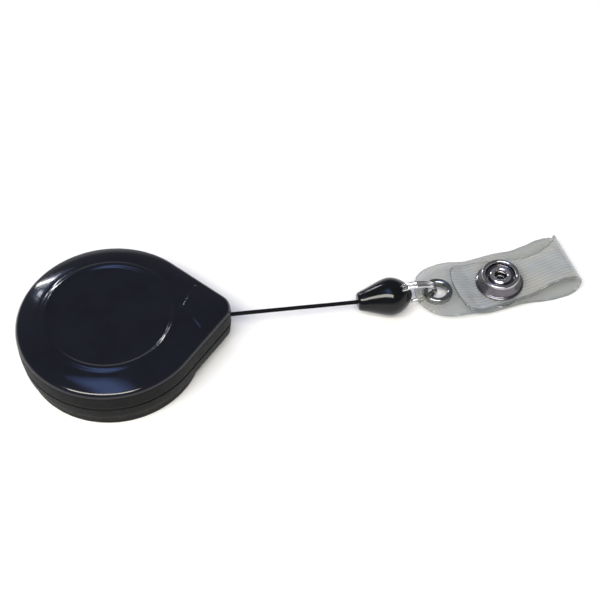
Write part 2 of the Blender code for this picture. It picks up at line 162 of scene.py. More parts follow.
# Strap, in millimetres, in its own frame at the eyelet
STRAP_YAW = math.radians(10.5)
STRAP_THICKNESS = 0.5
RIB_PITCH = 0.62
RIB_HEIGHT = 0.04
FOLD_X = 23.45
FOLD_Z = 2.0
FOLD_RADIUS = 1.65
LOWER_SEAM_X = 20.0
FLAP_SEAM_X = 19.6
# Rows of x, near edge and far edge
LOWER_EDGES = (
    (6.0, -6.35, 5.85), (16.0, -6.35, 5.85), (20.0, -6.8, 6.3), (22.5, -6.8, 6.75), (24.0, -6.5, 6.7),
    (24.7, -6.3, 6.2), (25.1, -6.1, 5.4),
)
FLAP_EDGES = (
    (5.6, -6.3, 4.2), (8.0, -6.3, 4.2), (10.8, -6.3, 3.8), (15.5, -6.0, 2.8), (17.5, -5.75, 2.0),
    (20.0, -5.5, 1.9), (22.0, -5.6, 2.4), (23.5, -5.9, 3.2), (24.6, -6.1, 4.1), (25.1, -6.1, 5.4),
)
# Each tongue's tip, its root, and how square its near and far corners are
LOWER_TONGUE = (-3.95, 6.0, (3.2, 5.0))
FLAP_TONGUE = (2.95, 5.6, (5.0, 3.2))
TONGUE_POWER = 0.556
TONGUE_REACH = 0.996
SNAP_PLACE = (11.2, -1.6)
EYELET_HOLE = 2.0
POST_HOLE = 1.45
SOCKET_HOLE = 2.35
# Below this height the snap socket's side wall and flange take a darker copy of its plate: painted shade
SHADED_BELOW_Z = 4.75

EYELET = Vector(JOINTS["strap_swing"]["pos_m"])
STRAP_FRAME = Matrix.Translation((EYELET.x, EYELET.y, 0.0)) @ Matrix.Rotation(STRAP_YAW, 4, "Z")
SNAP_FRAME = STRAP_FRAME @ Matrix.Translation((SNAP_PLACE[0] * MM, SNAP_PLACE[1] * MM, 0.0))
BEAD_FRAME = (
    Matrix.Translation(BEAD_TIP * MM)
    @ Matrix.Rotation(PULL_YAW, 4, "Z")
    @ Matrix.Rotation(math.pi / 2, 4, "Y")
    @ Matrix.Rotation(RING_TILT, 4, "Z")
)


# ---------------------------------------------------------------- camera, stage and light


def make_camera():
    """From the near side and above, with the whole object in the frame."""
    data = bpy.data.cameras.new("camera")
    data.lens = LENS_MM
    data.sensor_width = SENSOR_MM
    data.clip_start = 0.01
    camera = bpy.data.objects.new("camera", data)
    camera.location = CAMERA_PLACE
    camera.rotation_euler = (CAMERA_TARGET - CAMERA_PLACE).to_track_quat("-Z", "Y").to_euler()
    bpy.context.scene.collection.objects.link(camera)
    bpy.context.scene.camera = camera


def area_light(name, place, size, radiance, colour=(1.0, 1.0, 1.0), aim=(0.03, 0.0, 0.0), turn=0.0):
    """A rectangular soft light of a given radiance, facing aim and turned about that direction."""
    data = bpy.data.lights.new(name, "AREA")
    data.shape = "RECTANGLE"
    data.size, data.size_y = size
    data.energy = radiance * math.pi * size[0] * size[1]
    data.color = colour
    light = bpy.data.objects.new(name, data)
    light.location = place
    facing = (Vector(aim) - Vector(place)).to_track_quat("-Z", "Y").to_matrix().to_4x4()
    light.rotation_euler = (facing @ Matrix.Rotation(turn, 4, "Z")).to_euler()
    bpy.context.scene.collection.objects.link(light)


def window_light(name, azimuth, elevation, size, radiance, lean, colour=(1.0, 1.0, 1.0)):
    """A strip of window behind the object, given by its direction and its lean in degrees."""
    azimuth, elevation = math.radians(azimuth), math.radians(elevation)
    level = math.cos(elevation)
    direction = Vector((level * math.cos(azimuth), level * math.sin(azimuth), math.sin(elevation)))
    place = tuple(WINDOW_DISTANCE * direction)
    area_light(name, place, size, radiance, colour, aim=(0.0, 0.0, 0.01), turn=math.radians(lean))


def make_world():
    """Dim overhead, so that gloss stays dark, with a pale band along the horizon for views from the side."""
    world = bpy.data.worlds.new("studio")
    world.use_nodes = True
    nodes, links = world.node_tree.nodes, world.node_tree.links
    background = nodes["Background"]
    coordinates = nodes.new("ShaderNodeTexCoord")
    split = nodes.new("ShaderNodeSeparateXYZ")
    ramp = nodes.new("ShaderNodeValToRGB")
    for element, (height, colour) in zip(ramp.color_ramp.elements, (HORIZON, OVERHEAD)):
        element.position = height
        element.color = (*colour, 1.0)
    links.new(coordinates.outputs["Generated"], split.inputs[0])
    links.new(split.outputs["Z"], ramp.inputs[0])
    links.new(ramp.outputs["Color"], background.inputs["Color"])
    background.inputs["Strength"].default_value = 1.0
    bpy.context.scene.world = world


def make_stage():
    """White paper under a long ceiling panel, a faint blue sky and the window strips behind."""
    mesh = bpy.data.meshes.new("floor")
    corners = [(x * FLOOR_HALF, y * FLOOR_HALF, 0) for x, y in ((-1, -1), (1, -1), (1, 1), (-1, 1))]
    mesh.from_pydata(corners, [], [(0, 1, 2, 3)])
    floor = bpy.data.objects.new("floor", mesh)
    floor.location.z = -FLOOR_GAP
    bpy.context.scene.collection.objects.link(floor)
    paper, _ = new_material("floor_paper", (0.93, 0.93, 0.93), 0.9)
    mesh.materials.append(paper)
    for name, height, size, colour in SKY_LAYERS:
        area_light(name, (*SKY_PLACE, height), size, SKY_RADIANCE, colour)
    area_light("ceiling", (-0.16, -0.42, 0.72), (0.80, 0.25), 15.5, (1.0, 0.97, 0.89))
    window_light("window", 111.0, 24.0, (0.26, 0.020), 38.0, 115.0)
    window_light("window_glow", 110.0, 30.0, (0.30, 0.15), 1.1, 115.0, (0.36, 0.50, 1.0))
    window_light("window_pane", 114.0, 32.5, (0.13, 0.010), 30.0, 108.0)


# ---------------------------------------------------------------- material helpers


def new_material(name, colour, roughness, metallic=0.0):
    """A material and its Principled shader node."""
    material = bpy.data.materials.new(name)
    material.use_nodes = True
    shader = material.node_tree.nodes["Principled BSDF"]
    shader.inputs["Base Color"].default_value = (*colour, 1.0)
    shader.inputs["Roughness"].default_value = roughness
    shader.inputs["Metallic"].default_value = metallic
    return material, shader


def noise(material, scale, detail=3.0, stretch=(1.0, 1.0, 1.0)):
    """A noise value in object space, with scale in cells per metre, its cells drawn out by stretch."""
    nodes, links = material.node_tree.nodes, material.node_tree.links
    coordinates = nodes.new("ShaderNodeTexCoord")
    mapping = nodes.new("ShaderNodeMapping")
    mapping.vector_type = "TEXTURE"
    mapping.inputs["Scale"].default_value = stretch
    texture = nodes.new("ShaderNodeTexNoise")
    texture.inputs["Scale"].default_value = scale
    texture.inputs["Detail"].default_value = detail
    links.new(coordinates.outputs["Object"], mapping.inputs["Vector"])
    links.new(mapping.outputs["Vector"], texture.inputs["Vector"])
    return texture.outputs["Fac"]


def spread(material, value, low, high, start=0.3, end=0.7):
    """The value mapped from start..end to low..high."""
    node = material.node_tree.nodes.new("ShaderNodeMapRange")
    material.node_tree.links.new(value, node.inputs["Value"])
    node.inputs["From Min"].default_value = start
    node.inputs["From Max"].default_value = end
    node.inputs["To Min"].default_value = low
    node.inputs["To Max"].default_value = high
    return node.outputs["Result"]


def colours(material, value, stops):
    """The value turned into colour by (position, colour) stops."""
    ramp = material.node_tree.nodes.new("ShaderNodeValToRGB")
    elements = ramp.color_ramp.elements
    while len(elements) < len(stops):
        elements.new(0.5)
    for element, (position, colour) in zip(elements, stops):
        element.position = position
        element.color = (*colour, 1.0)
    material.node_tree.links.new(value, ramp.inputs["Fac"])
    return ramp.outputs["Color"]


def add_bump(material, shader, value, distance, strength=1.0):
    """Bump of a real height in metres, on top of any bump already there."""
    nodes, links = material.node_tree.nodes, material.node_tree.links
    node = nodes.new("ShaderNodeBump")
    node.inputs["Strength"].default_value = strength
    node.inputs["Distance"].default_value = distance
    links.new(value, node.inputs["Height"])
    normal = shader.inputs["Normal"]
    if normal.links:
        links.new(normal.links[0].from_socket, node.inputs["Normal"])
    links.new(node.outputs["Normal"], normal)


def connect(material, value, socket):
    material.node_tree.links.new(value, socket)


def mottle(material, shader, value, low, high, start=0.3, end=0.7):
    """Base colour that runs from low to high as the value runs from start to end."""
    connect(material, colours(material, value, [(start, low), (end, high)]), shader.inputs["Base Color"])


def roughen(material, shader, value, low, high):
    """Roughness that runs from low to high with the value."""
    connect(material, spread(material, value, low, high), shader.inputs["Roughness"])


# ---------------------------------------------------------------- materials


def polished_plastic(name, dark, light, specular=0.5):
    """Blue-black moulded plastic with a high polish, faint orange peel, hairline scratches and wear."""
    material, shader = new_material(name, dark, 0.15)
    shader.inputs["Specular IOR Level"].default_value = specular
    mottle(material, shader, noise(material, 260.0), dark, light, 0.35)
    roughen(material, shader, noise(material, 900.0, 5.0), 0.09, 0.13)
    add_bump(material, shader, noise(material, 700.0, 1.0), 0.000006, 0.3)
    scratches = noise(material, 2600.0, 2.0, (1.0, 28.0, 1.0))
    add_bump(material, shader, spread(material, scratches, 0.0, 1.0, 0.66, 0.74), 0.000004, 0.35)
    return material


def moulded_plastic(name, dark, light):
    """The same plastic with a fine spark-eroded grain and a satin finish."""
    material, shader = new_material(name, dark, 0.42)
    shader.inputs["Specular IOR Level"].default_value = 0.09
    mottle(material, shader, noise(material, 420.0), dark, light)
    roughen(material, shader, noise(material, 3000.0), 0.44, 0.6)
    add_bump(material, shader, noise(material, 5200.0, 4.0), 0.00002, 0.55)
    return material


def braided_cord(name, dark, light):
    """Dull woven nylon."""
    material, shader = new_material(name, light, 0.7)
    weave = noise(material, 4200.0, 2.0)
    mottle(material, shader, weave, dark, light)
    roughen(material, shader, weave, 0.55, 0.85)
    shader.inputs["Specular IOR Level"].default_value = 0.06
    shader.inputs["Sheen Weight"].default_value = 0.01
    add_bump(material, shader, noise(material, 9000.0), 0.00002, 0.5)
    return material


def plated_metal(name, colour, low, high):
    """Nickel plate whose roughness runs from low to high: smudged gloss and shallow dents from stamping."""
    material, shader = new_material(name, colour, low, 1.0)
    tint = tuple(0.86 * channel for channel in colour)
    mottle(material, shader, noise(material, 500.0), tint, colour, end=0.65)
    roughen(material, shader, noise(material, 1500.0, 5.0), low, high)
    add_bump(material, shader, noise(material, 1200.0, 2.0), 0.00002, 0.3)
    return material


def brushed_steel(name, stretch):
    """Steel with a fine grain, drawn out by stretch."""
    material, shader = new_material(name, (0.46, 0.46, 0.47), 0.3, 1.0)
    grain = noise(material, 9000.0, 3.0, stretch)
    mottle(material, shader, grain, (0.36, 0.36, 0.37), (0.56, 0.56, 0.57))
    roughen(material, shader, grain, 0.2, 0.38)
    add_bump(material, shader, grain, 0.000006, 0.5)
    return material


def drawn_lines(material, pitch, turn):
    """Straight lines a pitch apart in metres, along the direction at turn."""
    nodes, links = material.node_tree.nodes, material.node_tree.links
    coordinates = nodes.new("ShaderNodeTexCoord")
    mapping = nodes.new("ShaderNodeMapping")
    mapping.vector_type = "TEXTURE"
    mapping.inputs["Rotation"].default_value = (0.0, 0.0, turn)
    wave = nodes.new("ShaderNodeTexWave")
    wave.bands_direction = "Y"
    wave.inputs["Scale"].default_value = WAVE_PITCH / pitch
    wave.inputs["Distortion"].default_value = 1.2
    wave.inputs["Detail Scale"].default_value = 0.4
    links.new(coordinates.outputs["Object"], mapping.inputs["Vector"])
    links.new(mapping.outputs["Vector"], wave.inputs["Vector"])
    return wave.outputs["Fac"]


def product(material, first, second):
    """One colour multiplied by another."""
    mix = material.node_tree.nodes.new("ShaderNodeMix")
    mix.data_type = "RGBA"
    mix.blend_type = "MULTIPLY"
    mix.inputs["Factor"].default_value = 1.0
    connect(material, first, mix.inputs[MIX_COLOUR_A])
    connect(material, second, mix.inputs[MIX_COLOUR_B])
    return mix.outputs[MIX_COLOUR_RESULT]


def clear_vinyl(name, tint, warm, alpha, edge_alpha, roughness):
    """Soft vinyl: tinted grey as painted shade for what shows through the clear sheet, yellowed in places,
    its lines along the strip painted darker in their grooves as painted shade of the ribs, denser seen edge
    on.
    """
    material, shader = new_material(name, tint, roughness)
    lines = drawn_lines(material, RIB_PITCH * MM, STRAP_YAW)
    cloud = colours(material, noise(material, 160.0), [(0.45, tint), (0.72, warm)])
    # Painted shade: the lines darken the colour in the ribs' grooves
    shade = colours(material, lines, [(0.1, (0.86, 0.87, 0.89)), (0.5, (1.0, 1.0, 1.0))])
    connect(material, product(material, cloud, shade), shader.inputs["Base Color"])
    roughen(material, shader, noise(material, 1400.0, 4.0), roughness * 0.7, roughness * 1.5)
    shader.inputs["Specular IOR Level"].default_value = 1.0
    shader.inputs["IOR"].default_value = 1.53
    add_bump(material, shader, noise(material, 330.0, 1.0), 0.0007, 0.8)
    add_bump(material, shader, lines, 0.00003, 0.5)
    weight = material.node_tree.nodes.new("ShaderNodeLayerWeight")
    weight.inputs["Blend"].default_value = 0.35
    cover = spread(material, weight.outputs["Facing"], alpha, edge_alpha, 0.25, 1.0)
    connect(material, cover, shader.inputs["Alpha"])
    return material


def acetal():
    """The spool's white plastic."""
    material, shader = new_material("natural_acetal", (0.62, 0.62, 0.58), 0.45)
    mottle(material, shader, noise(material, 350.0), (0.55, 0.55, 0.52), (0.66, 0.66, 0.62))
    shader.inputs["Subsurface Weight"].default_value = 0.1
    shader.inputs["Subsurface Radius"].default_value = (0.001, 0.001, 0.001)
    add_bump(material, shader, noise(material, 2500.0), 0.00001, 0.4)
    return material


# ---------------------------------------------------------------- mesh helpers


def add_mesh(name, points, faces, materials, matrix=None, sharp=SHARP_ANGLE):
    """An object from points in metres, smooth except at its sharp edges."""
    mesh = bpy.data.meshes.new(name)
    mesh.from_pydata([tuple(point) for point in points], [], faces)
    if matrix is not None:
        mesh.transform(matrix)
    for material in materials:
        mesh.materials.append(material)
    mesh.shade_smooth()
    mesh.set_sharp_from_angle(angle=math.radians(sharp))
    piece = bpy.data.objects.new(name, mesh)
    bpy.context.scene.collection.objects.link(piece)
    return piece


def surface(name, rows, materials, matrix=None, loop=False, ends=(False, False), sharp=SHARP_ANGLE):
    """A mesh through rows of points, each row a closed ring. loop joins the last row to the first."""
    count = len(rows[0])
    points = [Vector(point) * MM for row in rows for point in row]
    faces = []
    for i in range(len(rows) if loop else len(rows) - 1):
        low, high = i * count, (i + 1) % len(rows) * count
        for j in range(count):
            k = (j + 1) % count
            faces.append((low + j, low + k, high + k, high + j))
    if ends[0]:
        faces.append(tuple(range(count))[::-1])
    if ends[1]:
        faces.append(tuple(range(len(points) - count, len(points))))
    return add_mesh(name, points, faces, materials, matrix, sharp)


def turned(name, profile, materials, matrix=None, steps=TURNED_STEPS, solid=False):
    """A profile of (radius, height) points turned about Z: a closed loop, or from axis to axis if solid."""
    rows = []
    for i in range(steps):
        angle = 2 * math.pi * i / steps
        rows.append([(r * math.cos(angle), r * math.sin(angle), z) for r, z in profile])
    if not solid:
        return surface(name, rows, materials, matrix, loop=True)
    points = [Vector(point) * MM for row in rows for point in row[1:-1]]
    count = len(profile) - 2
    faces = []
    for i in range(steps):
        low, high = i * count, (i + 1) % steps * count
        faces += [(low + j, low + j + 1, high + j + 1, high + j) for j in range(count - 1)]
    top, bottom = len(points), len(points) + 1
    points += [Vector((0.0, 0.0, profile[0][1])) * MM, Vector((0.0, 0.0, profile[-1][1])) * MM]
    for i in range(steps):
        low, high = i * count, (i + 1) % steps * count
        faces += [(top, low, high), (bottom, high + count - 1, low + count - 1)]
    return add_mesh(name, points, faces, materials, matrix)


def rounded(points, radius):
    """The closed outline with each corner replaced by a short curve."""
    made = []
    for i, point in enumerate(points):
        here, before, after = Vector(point), Vector(points[i - 1]), Vector(points[(i + 1) % len(points)])
        start = here + (before - here).normalized() * min(radius, (before - here).length * 0.45)
        end = here + (after - here).normalized() * min(radius, (after - here).length * 0.45)
        for step in range(CORNER_STEPS + 1):
            share = step / CORNER_STEPS
            made.append(tuple(start.lerp(here, share).lerp(here.lerp(end, share), share)))
    return made


def spline(points, per_span):
    """A smooth curve through the points, with per_span points for each span."""
    points = [Vector(point) for point in points]
    padded = [2 * points[0] - points[1], *points, 2 * points[-1] - points[-2]]
    made = []
    for a, b, c, d in zip(padded, padded[1:], padded[2:], padded[3:]):
        first = math.sqrt(max((b - a).length, 1e-9))
        middle = math.sqrt(max((c - b).length, 1e-9))
        last = math.sqrt(max((d - c).length, 1e-9))
        out = (b - a) / first - (c - a) / (first + middle) + (c - b) / middle
        into = (c - b) / middle - (d - b) / (middle + last) + (d - c) / last
        for step in range(per_span):
            t = step / per_span
            made.append(
                (2 * t**3 - 3 * t**2 + 1) * b
                + (t**3 - 2 * t**2 + t) * middle * out
                + (3 * t**2 - 2 * t**3) * c
                + (t**3 - t**2) * middle * into
            )
    made.append(points[-1])
    return made


def sweep(name, path, radius, materials, matrix=None, sides=20, ripple=None, taper=0.0):
    """A round bar along a path, thinner by taper at its ends. ripple(distance, angle) adds to its radius."""
    rows = []
    path = [Vector(point) for point in path]
    side = (path[1] - path[0]).orthogonal().normalized()
    distance = 0.0
    for i, point in enumerate(path):
        along = (path[min(i + 1, len(path) - 1)] - path[max(i - 1, 0)]).normalized()
        side = (side - along * side.dot(along)).normalized()
        other = along.cross(side)
        distance += (point - path[max(i - 1, 0)]).length
        ring = []
        for j in range(sides):
            angle = 2 * math.pi * j / sides
            reach = radius + (ripple(distance, angle) if ripple else 0.0)
            if i in (0, len(path) - 1):
                reach -= taper
            ring.append(point + (side * math.cos(angle) + other * math.sin(angle)) * reach)
        rows.append(ring)
    return surface(name, rows, materials, matrix, ends=(True, True))


def cut(piece, cutter):
    """Takes the cutter's volume out of the piece for good."""
    modifier = piece.modifiers.new("cut", "BOOLEAN")
    modifier.object = cutter
    bpy.context.view_layer.update()
    evaluated = piece.evaluated_get(bpy.context.evaluated_depsgraph_get())
    mesh = bpy.data.meshes.new_from_object(evaluated)
    piece.modifiers.clear()
    piece.data = mesh
    bpy.data.objects.remove(cutter)
    mesh.shade_smooth()
    mesh.set_sharp_from_angle(angle=math.radians(SHARP_ANGLE))


def cylinder(radius, low, high, matrix=None):
    """A plain cutter about Z."""
    profile = [(0.0, high), (radius, high), (radius, low), (0.0, low)]
    return turned("cutter", profile, [], matrix, CUTTER_STEPS, solid=True)


def box(low, high):
    """A plain cutter between two corners, in millimetres."""
    corners = [Vector(corner) * MM for corner in itertools.product(*zip(low, high))]
    faces = [(0, 1, 3, 2), (4, 6, 7, 5), (0, 4, 5, 1), (2, 3, 7, 6), (0, 2, 6, 4), (1, 5, 7, 3)]
    return add_mesh("cutter", corners, faces, [])


def finish_piece(piece, body, node):
    """Says which body a piece moves with and the CAD node it stands for."""
    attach(piece, body)
    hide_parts(node)


# ---------------------------------------------------------------- case


def outline(inset):
    """The teardrop seen from above, moved in by inset, as points that match from one inset to the next."""
    radius = CASE_RADIUS - inset
    nose = NOSE_X - inset
    corner = (radius - nose * math.cos(FLANK_ANGLE)) / math.sin(FLANK_ANGLE)
    fillet = min(NOSE_FILLET, 0.9 * corner / math.tan(FLANK_ANGLE / 2))
    reach = corner - fillet * math.tan(FLANK_ANGLE / 2)
    flank = Vector((math.cos(FLANK_ANGLE), math.sin(FLANK_ANGLE)))
    tangent = radius * flank
    shoulder = Vector((nose - fillet, reach)) + fillet * flank
    points = []
    for i in range(ROUND_STEPS):
        angle = FLANK_ANGLE + (2 * math.pi - 2 * FLANK_ANGLE) * i / ROUND_STEPS
        points.append(Vector((radius * math.cos(angle), radius * math.sin(angle))))
    lower = [Vector((point.x, -point.y)) for point in (tangent, shoulder)]
    points += [lower[0].lerp(lower[1], i / FLANK_STEPS) for i in range(FLANK_STEPS)]
    for i in range(NOSE_STEPS):
        angle = FLANK_ANGLE * (i / NOSE_STEPS - 1)
        points.append(Vector((nose - fillet + fillet * math.cos(angle), -reach + fillet * math.sin(angle))))
    front = (Vector((nose, -reach)), Vector((nose, reach)))
    points += [front[0].lerp(front[1], i / NOSE_STEPS) for i in range(NOSE_STEPS)]
    for i in range(NOSE_STEPS):
        angle = FLANK_ANGLE * i / NOSE_STEPS
        points.append(Vector((nose - fillet + fillet * math.cos(angle), reach + fillet * math.sin(angle))))
    points += [shoulder.lerp(tangent, i / FLANK_STEPS) for i in range(FLANK_STEPS)]
    return points


def case_ring(inset, height):
    """The case's outline moved in by inset, at a height."""
    return [(point.x, point.y, height) for point in outline(inset)]


def round_ring(radius, height):
    """A circle with one point in the direction of each point of the case's outline."""
    return [(*(point.normalized() * radius), height) for point in outline(0.0)]


def step_between(value, start, end):
    """A soft step from 0 at start to 1 at end."""
    share = min(max((value - start) / (end - start), 0.0), 1.0)
    return share * share * (3 - 2 * share)


def nose_relief(x, y):
    """How far the fine Y-shaped rib by the nose, its two arms and its stem, stands out of the dome."""
    across = abs(y)
    off_arm = abs((x - CHEVRON_X) * math.sin(CHEVRON_ANGLE) - across * math.cos(CHEVRON_ANGLE))
    arm = step_between(ARM_HALF - off_arm, 0.0, 0.2)
    arm *= 1 - step_between(across, CHEVRON_REACH - 0.2, CHEVRON_REACH + 0.1)
    stem = step_between(STEM_HALF - across, 0.0, 0.18)
    stem *= step_between(x, RING_OUTER - 0.6, RING_OUTER - 0.4)
    stem *= 1 - step_between(x, CHEVRON_X - 0.1, CHEVRON_X + 0.2)
    off_end = math.hypot(x - CHEVRON_X - CHEVRON_REACH / math.tan(CHEVRON_ANGLE), across - CHEVRON_REACH)
    dot = step_between(DOT_RADIUS - off_end, 0.0, 0.3)
    return CHEVRON_RELIEF * max(arm, 0.8 * stem) + DOT_RELIEF * dot


def dome_rows():
    """The top of the front cover from the rim's fillet in to the raised ring."""
    outer, inner = case_ring(DOME_INSET, 0.0), round_ring(RING_OUTER, 0.0)
    rows = []
    for i in range(DOME_STEPS + 1):
        share = i / DOME_STEPS
        height = DOME_LOW_Z + (DOME_TOP_Z - DOME_LOW_Z) * (1 - (1 - share) ** 1.6)
        row = []
        for edge, ring in zip(outer, inner):
            x = edge[0] + (ring[0] - edge[0]) * share
            y = edge[1] + (ring[1] - edge[1]) * share
            row.append((x, y, height + nose_relief(x, y)))
        rows.append(row)
    return rows


def face_rows():
    """The raised ring, soft outside and crisper inside, and the flat disc within it."""
    profile = [
        (RING_OUTER, DOME_TOP_Z), (11.6, 10.15), (11.3, 10.26), (11.0, 10.34), (10.75, 10.34), (10.5, 10.26),
        (10.3, 10.16), (RING_INNER, 10.11), (10.0, FACE_Z),
    ]
    rows = [round_ring(point.x, point.y) for point in spline(profile, 4)[1:]]
    return rows + [round_ring(radius, FACE_Z) for radius in (9.0, 7.0, 5.0, 3.0, 1.0)]


def make_front_cover():
    """The front half, its top polished and its wall satin, from inside the rim round and up to the face."""
    rim = PARTING_Z + PARTING_GAP
    rows = [
        round_ring(3.0, 9.0), round_ring(10.6, 9.0), case_ring(WALL + 0.7, 8.6), case_ring(WALL, 8.1),
        case_ring(WALL, rim), case_ring(0.34, rim), case_ring(0.26, rim + 0.02), case_ring(0.1, rim + 0.16),
        case_ring(0.03, rim + 0.26),
    ]
    rows += [case_ring(0.0, height) for height in (rim + 0.42, 6.2, 6.8, 7.4, SHOULDER_Z)]
    for i in range(1, 10):
        angle = RIM_TURN * i / 10
        rows.append(case_ring(RIM_FILLET * (1.0 - math.cos(angle)), SHOULDER_Z + RIM_RISE * math.sin(angle)))
    rows += dome_rows() + face_rows()
    cover = surface("case_front", rows, [GLOSS, SATIN], ends=(True, True), sharp=CASE_SHARP_ANGLE)
    for face in cover.data.polygons:
        face.material_index = 0 if face.normal.z > 0.25 else 1
    turn = Matrix.Rotation(math.pi / 2, 4, "Y")
    cut(cover, cylinder(EXIT_RADIUS, -2.5, 2.5, Matrix.Translation((NOSE_X * MM, 0.0, CORD_Z * MM)) @ turn))
    finish_piece(cover, "housing", "front_cover")


def make_rear_cover():
    """The rear half, from inside its rim round and down to the foot ring and the clip's recess."""
    rim = PARTING_Z - PARTING_GAP
    rows = [round_ring(3.0, 3.3), round_ring(12.0, 3.3), case_ring(WALL + 0.5, 3.3), case_ring(WALL, 3.7)]
    wall = [
        (WALL, rim), (0.36, rim), (0.28, rim - 0.02), (0.12, rim - 0.16), (0.05, rim - 0.26),
        (0.06, rim - 0.4), (0.16, 3.9), (0.25, 2.95), (0.32, 2.7), (0.46, 2.5), (0.66, 2.36), (0.8, 2.3),
    ]
    rows += [case_ring(inset, height) for inset, height in wall]
    foot = [
        (-0.05, 2.3), (0.0, 2.22), (0.08, 0.5), (0.12, 0.24), (0.22, 0.08), (0.4, 0.0), (1.2, 0.0),
        (1.34, 0.06), (1.4, 0.2), (1.45, 2.2), (1.6, 2.3),
    ]
    rows += [round_ring(FOOT_RADIUS - inset, height) for inset, height in foot]
    recess = [(9.0, 2.3), (8.9, 2.2), (8.6, 2.2), (8.5, 2.3), (3.4, 2.3), (3.0, 2.3)]
    rows += [round_ring(radius, height) for radius, height in recess]
    cover = surface("case_back", rows, [SATIN], ends=(True, True), sharp=CASE_SHARP_ANGLE)
    cut(cover, box((11.0, -FOOT_GATE, -1.0), (17.0, FOOT_GATE, 2.0)))
    cut(cover, cylinder(RIVET_HOLE, 1.0, 5.0))
    finish_piece(cover, "housing", "rear_cover")


# ---------------------------------------------------------------- belt clip


def strip_rows(path, half, thickness):
    """Sections with rounded edges across a path of (x, z) points."""
    rows = []
    for i, here in enumerate(path):
        along = (Vector(path[min(i + 1, len(path) - 1)]) - Vector(path[max(i - 1, 0)])).normalized()
        up = Vector((-along.y, along.x))
        row = []
        for side in (1, -1):
            for step in range(CLIP_EDGE_STEPS + 1):
                angle = math.pi / 2 - math.pi * step / CLIP_EDGE_STEPS
                across = side * (half - thickness / 2 + thickness / 2 * math.cos(angle))
                place = Vector(here) + up * (side * thickness / 2 * math.sin(angle))
                row.append((place.x, across, place.y))
        rows.append(row)
    return rows


def make_belt_clip():
    """The riveted half, the bend at the back and the springy leaf with its lip, as one strip."""
    middle = (CLIP_LOW_Z + CLIP_HIGH_Z) / 2
    path = [(x, CLIP_HIGH_Z) for x in (5.0, 0.0, -6.0, -10.0)]
    path += [
        (CLIP_BEND_X + CLIP_BEND_RADIUS * math.cos(angle), middle + CLIP_BEND_RADIUS * math.sin(angle))
        for angle in (math.radians(90 + 180 * i / 16) for i in range(17))
    ]
    path += [(x, CLIP_LOW_Z) for x in (-9.0, -4.0, 2.0, 8.0, 10.6)]
    lip = [(11.0, CLIP_LOW_Z), (12.0, 0.42), (13.0, 0.9), (14.0, 1.0), (15.0, 0.75), (16.0, 0.35)]
    path += [tuple(point) for point in spline(lip, 5)]
    clip = surface("belt_clip", strip_rows(path, CLIP_HALF_WIDTH, CLIP_THICKNESS), [STEEL], ends=(True, True))
    cut(clip, cylinder(RIVET_HOLE, 1.2, 3.0))
    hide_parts("belt_clip_base", "belt_clip_leaf")
    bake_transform(clip)


# ---------------------------------------------------------------- cord, bead and split ring


def make_cord():
    """The braid from inside the nose to inside the bead."""
    exit_point = Vector((NOSE_X, 0.0, CORD_Z))
    start = exit_point - Vector((CORD_OVERLAP[0], 0.0, 0.0))
    end = BEAD_TIP + Vector((math.cos(PULL_YAW), math.sin(PULL_YAW), 0.0)) * CORD_OVERLAP[1]
    path = spline([start, exit_point, exit_point.lerp(BEAD_TIP, 0.5), BEAD_TIP, end], 60)

    def braid(distance, angle):
        first, second = (math.cos(BRAID_STRANDS * angle + way * distance * BRAID_TWIST) for way in (1, -1))
        return BRAID_HEIGHT * max(first, second)

    cord = sweep("pull_cord", path, CORD_RADIUS - 0.01, [NYLON], sides=36, ripple=braid)
    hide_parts("cord_run")
    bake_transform(cord)


def make_bead():
    """The teardrop bead, with an eye cut for the split ring and a hole for the cord."""
    outside = [
        (0.55, 0.02), (1.0, 0.0), (1.32, 0.06), (1.55, 0.25), (1.75, 0.7), (2.0, 1.5), (2.5, 2.8),
        (2.95, 4.0), (3.28, 5.1), (3.38, 6.0), (3.22, 6.9), (2.87, 7.7), (2.4, 8.4), (1.8, 9.0), (1.2, 9.42),
        (0.6, 9.68),
    ]
    profile = [(0.0, 9.75), *[(point.x, point.y) for point in spline(outside, 4)[::-1]], (0.0, 0.05)]
    bead = turned("cord_bead", profile, [BEAD_GLOSS], BEAD_FRAME, solid=True)
    eye = []
    for i in range(TURNED_STEPS):
        angle = 2 * math.pi * i / TURNED_STEPS
        ring = []
        for j in range(EYE_STEPS):
            turn = 2 * math.pi * j / EYE_STEPS
            reach, side = RING_RADIUS + EYE_RADIUS * math.cos(turn), -EYE_RADIUS * math.sin(turn)
            ring.append((reach * math.cos(angle), side, RING_DISTANCE + reach * math.sin(angle)))
        eye.append(ring)
    cut(bead, surface("cutter", eye, [], BEAD_FRAME, loop=True))
    cut(bead, cylinder(CORD_HOLE, -1.0, 2.5, BEAD_FRAME))
    finish_piece(bead, "puller", "cord_end_bead")


def make_split_ring():
    """Nearly two turns of wire, side by side."""
    steps = int(80 * RING_TURNS)
    path = []
    for i in range(steps + 1):
        turn = RING_TURNS * i / steps
        angle = RING_START + 2 * math.pi * turn
        side = RING_PITCH * (turn - RING_TURNS / 2)
        path.append((RING_RADIUS * math.cos(angle), side, RING_DISTANCE + RING_RADIUS * math.sin(angle)))
    ring = sweep("split_ring_wire", path, RING_WIRE, [PLATE], BEAD_FRAME, taper=0.05)
    finish_piece(ring, "ring", "split_ring")


# ---------------------------------------------------------------- strap


